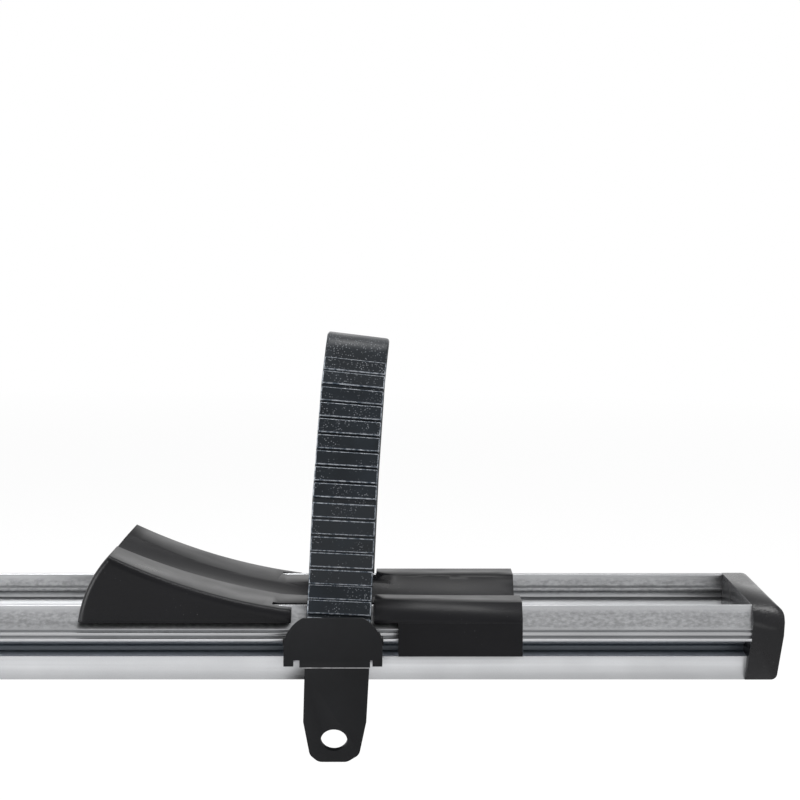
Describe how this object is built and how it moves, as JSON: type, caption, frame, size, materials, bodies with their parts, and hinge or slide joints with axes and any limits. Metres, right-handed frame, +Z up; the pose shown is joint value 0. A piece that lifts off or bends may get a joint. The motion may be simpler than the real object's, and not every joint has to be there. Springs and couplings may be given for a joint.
{
  "type": "roof mounted bike carrier",
  "caption": "Upright roof bike carrier: aluminium wheel tray on clamping crossbar feet, sliding wheel cradles with ladder straps and buckles, and a folding arm with a screw-driven frame claw.",
  "frame": {"origin": "middle of the front foot's seat, on top of its crossbar", "axes": "+X to the car's rear along the tray, +Y to the car's right, +Z up"},
  "size_m": [1.4394, 0.1588, 0.599],
  "materials": {
    "anodised_aluminium": "satin anodised",
    "black_moulding": "satin",
    "strap": "satin, slightly blue",
    "coated_steel": "fine texture",
    "zinc_steel": "zinc plated",
    "rubber": "matte",
    "coated_casting": "satin",
    "knob": "satin"
  },
  "bodies": {
    "carrier": {"wheel_rail": "anodised_aluminium", "front_end_cap": "black_moulding", "rear_end_cap": "black_moulding", "arm_base": "coated_casting", "arm_base_screws": "zinc_steel", "arm_pivot_bolt": "zinc_steel", "front_saddle": "black_moulding", "front_seat_pad": "rubber", "front_slide_block": "zinc_steel", "front_rail_bolt": "zinc_steel"},
    "rear_foot": {"rear_saddle": "black_moulding", "rear_seat_pad": "rubber", "rear_slide_block": "zinc_steel", "rear_rail_bolt": "zinc_steel"},
    "front_jaw": {"front_jaw": "coated_casting"},
    "rear_jaw": {"rear_jaw": "coated_casting"},
    "front_clamp": {"front_clamp_screw": "zinc_steel", "front_clamp_knob": "knob"},
    "rear_clamp": {"rear_clamp_screw": "zinc_steel", "rear_clamp_knob": "knob"},
    "front_holder": {"front_cradle": "black_moulding", "front_strap": "strap", "front_buckle_base": "zinc_steel", "front_buckle_pin": "zinc_steel", "front_strap_anchor": "zinc_steel", "front_anchor_pin": "zinc_steel"},
    "rear_holder": {"rear_cradle": "black_moulding", "rear_strap": "strap", "rear_buckle_base": "zinc_steel", "rear_buckle_pin": "zinc_steel", "rear_strap_anchor": "zinc_steel", "rear_anchor_pin": "zinc_steel"},
    "front_lever": {"front_buckle_lever": "coated_steel"},
    "rear_lever": {"rear_buckle_lever": "coated_steel"},
    "arm": {"arm_foot": "black_moulding", "arm_tube": "anodised_aluminium", "arm_head": "black_moulding", "lower_grip_pad": "rubber"},
    "upper_claw": {"upper_claw": "black_moulding", "upper_grip_pad": "rubber"},
    "claw_drive": {"claw_screw": "zinc_steel", "claw_knob": "knob"}
  },
  "joints": [
    {"name": "rear_foot_slide", "type": "slide", "parent": "carrier", "child": "rear_foot", "axis": [1, 0, 0], "range_m": [-0.16, 0.01]},
    {"name": "front_holder_slide", "type": "slide", "parent": "carrier", "child": "front_holder", "axis": [1, 0, 0], "range_m": [-0.14, 0.06]},
    {"name": "rear_holder_slide", "type": "slide", "parent": "carrier", "child": "rear_holder", "axis": [1, 0, 0], "range_m": [-0.1, 0.06]},
    {"name": "front_lever_swing", "type": "hinge", "parent": "front_holder", "child": "front_lever", "pos_m": [-0.2345, -0.0446, 0.052], "axis": [-1, 0, 0], "range_deg": [0, 42]},
    {"name": "rear_lever_swing", "type": "hinge", "parent": "rear_holder", "child": "rear_lever", "pos_m": [0.8375, -0.0446, 0.052], "axis": [-1, 0, 0], "range_deg": [0, 42]},
    {"name": "arm_fold", "type": "hinge", "parent": "carrier", "child": "arm", "pos_m": [0, -0.086, 0.062], "axis": [0, 1, 0], "range_deg": [-20, 58]},
    {"name": "claw_turn", "type": "hinge", "parent": "arm", "child": "claw_drive", "pos_m": [0.18779, -0.052, 0.41518], "axis": [0.4695, 0, 0.8829], "range_deg": [-2161, 1441]},
    {"name": "claw_slide", "type": "slide", "parent": "arm", "child": "upper_claw", "axis": [0.4695, 0, 0.8829], "range_m": [-0.02, 0.03]},
    {"name": "front_clamp_turn", "type": "hinge", "parent": "carrier", "child": "front_clamp", "pos_m": [0, 0, 0.014], "axis": [1, 0, 0], "range_deg": [0, 2701]},
    {"name": "front_jaw_slide", "type": "slide", "parent": "carrier", "child": "front_jaw", "axis": [1, 0, 0], "range_m": [-0.03, 0]},
    {"name": "rear_clamp_turn", "type": "hinge", "parent": "rear_foot", "child": "rear_clamp", "pos_m": [0.65, 0, 0.014], "axis": [1, 0, 0], "range_deg": [0, 2701]},
    {"name": "rear_jaw_slide", "type": "slide", "parent": "rear_foot", "child": "rear_jaw", "axis": [1, 0, 0], "range_m": [-0.03, 0]}
  ],
  "couplings": [
    {"joint": "claw_turn", "follows": "claw_slide", "rad_per_m": -1256.6},
    {"joint": "front_clamp_turn", "follows": "front_jaw_slide", "rad_per_m": -1570.8},
    {"joint": "rear_clamp_turn", "follows": "rear_jaw_slide", "rad_per_m": -1570.8}
  ]
}
